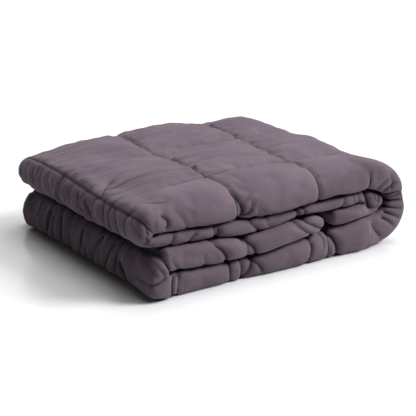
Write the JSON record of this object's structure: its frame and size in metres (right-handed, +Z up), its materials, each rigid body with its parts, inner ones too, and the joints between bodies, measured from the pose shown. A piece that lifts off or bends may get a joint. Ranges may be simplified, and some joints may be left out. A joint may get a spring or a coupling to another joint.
{
  "type": "folded weighted blanket",
  "caption": "Quilted weighted blanket folded into a thick rectangular pile, with a rolled front edge, two folds at the left and a wrapped fold at the right.",
  "frame": {"origin": "on the surface the pile lies on, under the middle of its bounding box", "axes": "+Z up; +X along the pile towards the wrapped end; +Y from the rolled front edge in the picture towards the back"},
  "size_m": [0.4718, 0.4092, 0.1391],
  "materials": {
    "quilt_cloth": "matt brushed microfibre, dark mauve grey"
  },
  "bodies": {
    "root": {"blanket": "quilt_cloth"}
  },
  "joints": []
}
